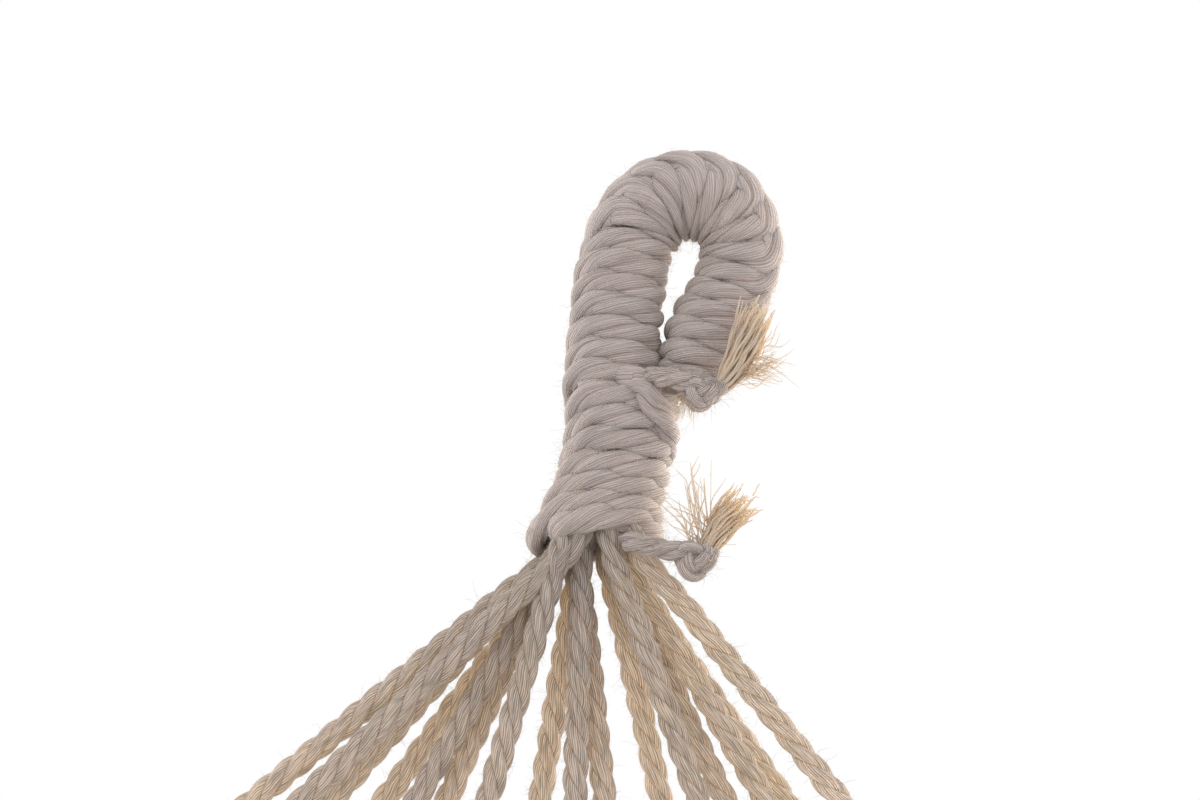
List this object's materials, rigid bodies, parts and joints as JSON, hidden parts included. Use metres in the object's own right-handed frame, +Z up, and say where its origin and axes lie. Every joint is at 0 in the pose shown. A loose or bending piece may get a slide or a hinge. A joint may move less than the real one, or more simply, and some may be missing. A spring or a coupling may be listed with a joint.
{
  "type": "hammock chair",
  "caption": "Hanging hammock chair: served rope eye and neck, a fan of cords to a wooden spreader bar, and a canvas bucket seat slung below it on cords through metal eyelets.",
  "frame": {"origin": "the point inside the top of the rope eye where a hook bears", "axes": "+Z up along the hanging line, X along the spreader bar, -Y the way the sitter faces"},
  "size_m": [0.99, 0.616, 1.5865],
  "materials": {
    "cotton_cord": "undyed three-strand cotton cord, matt",
    "cotton_serving": "undyed three-strand cotton rope wound close, matt",
    "cotton_tuft": "unlaid cotton yarn ends, soft and frayed",
    "seat_cloth": "undyed heavy cotton canvas, matt",
    "bar_wood": "turned hardwood, thin satin oil",
    "eyelet_brass": "rolled brass, dulled"
  },
  "bodies": {
    "eye": {"cord_bights": "cotton_cord", "eye_serving": "cotton_serving", "neck_serving": "cotton_serving", "upper_tail_knot": "cotton_serving", "upper_tail_tuft": "cotton_tuft", "lower_tail_knot": "cotton_serving", "lower_tail_tuft": "cotton_tuft"},
    "spreader": {"spreader_bar": "bar_wood", "spreader_cord_01": "cotton_cord", "spreader_cord_02": "cotton_cord", "spreader_cord_03": "cotton_cord", "spreader_cord_04": "cotton_cord", "spreader_cord_05": "cotton_cord", "spreader_cord_06": "cotton_cord", "spreader_cord_07": "cotton_cord", "spreader_cord_08": "cotton_cord", "spreader_cord_09": "cotton_cord", "spreader_cord_10": "cotton_cord", "spreader_cord_11": "cotton_cord", "spreader_cord_12": "cotton_cord", "spreader_cord_13": "cotton_cord", "spreader_cord_14": "cotton_cord", "spreader_cord_15": "cotton_cord", "spreader_cord_16": "cotton_cord"},
    "seat": {"seat_canvas": "seat_cloth", "seat_cord_1": "cotton_cord", "seat_cord_2": "cotton_cord", "seat_cord_3": "cotton_cord", "seat_cord_4": "cotton_cord", "seat_cord_5": "cotton_cord", "seat_cord_6": "cotton_cord", "seat_cord_7": "cotton_cord", "seat_cord_8": "cotton_cord", "eyelet_1": "eyelet_brass", "eyelet_2": "eyelet_brass", "eyelet_3": "eyelet_brass", "eyelet_4": "eyelet_brass", "eyelet_5": "eyelet_brass", "eyelet_6": "eyelet_brass", "eyelet_7": "eyelet_brass", "eyelet_8": "eyelet_brass"}
  },
  "joints": [
    {"name": "cords_swing", "type": "hinge", "parent": "eye", "child": "spreader", "pos_m": [-0.013, 0, -0.088], "axis": [1, 0, 0], "range_deg": [-25, 25], "deforming": ["spreader_cord_01", "spreader_cord_02", "spreader_cord_03", "spreader_cord_04", "spreader_cord_05", "spreader_cord_06", "spreader_cord_07", "spreader_cord_08", "spreader_cord_09", "spreader_cord_10", "spreader_cord_11", "spreader_cord_12", "spreader_cord_13", "spreader_cord_14", "spreader_cord_15", "spreader_cord_16"]},
    {"name": "seat_swing", "type": "hinge", "parent": "spreader", "child": "seat", "pos_m": [-0.013, 0, -0.5767], "axis": [1, 0, 0], "range_deg": [-25, 25], "deforming": ["seat_cord_1", "seat_cord_2", "seat_cord_3", "seat_cord_4", "seat_cord_5", "seat_cord_6", "seat_cord_7", "seat_cord_8"]}
  ]
}
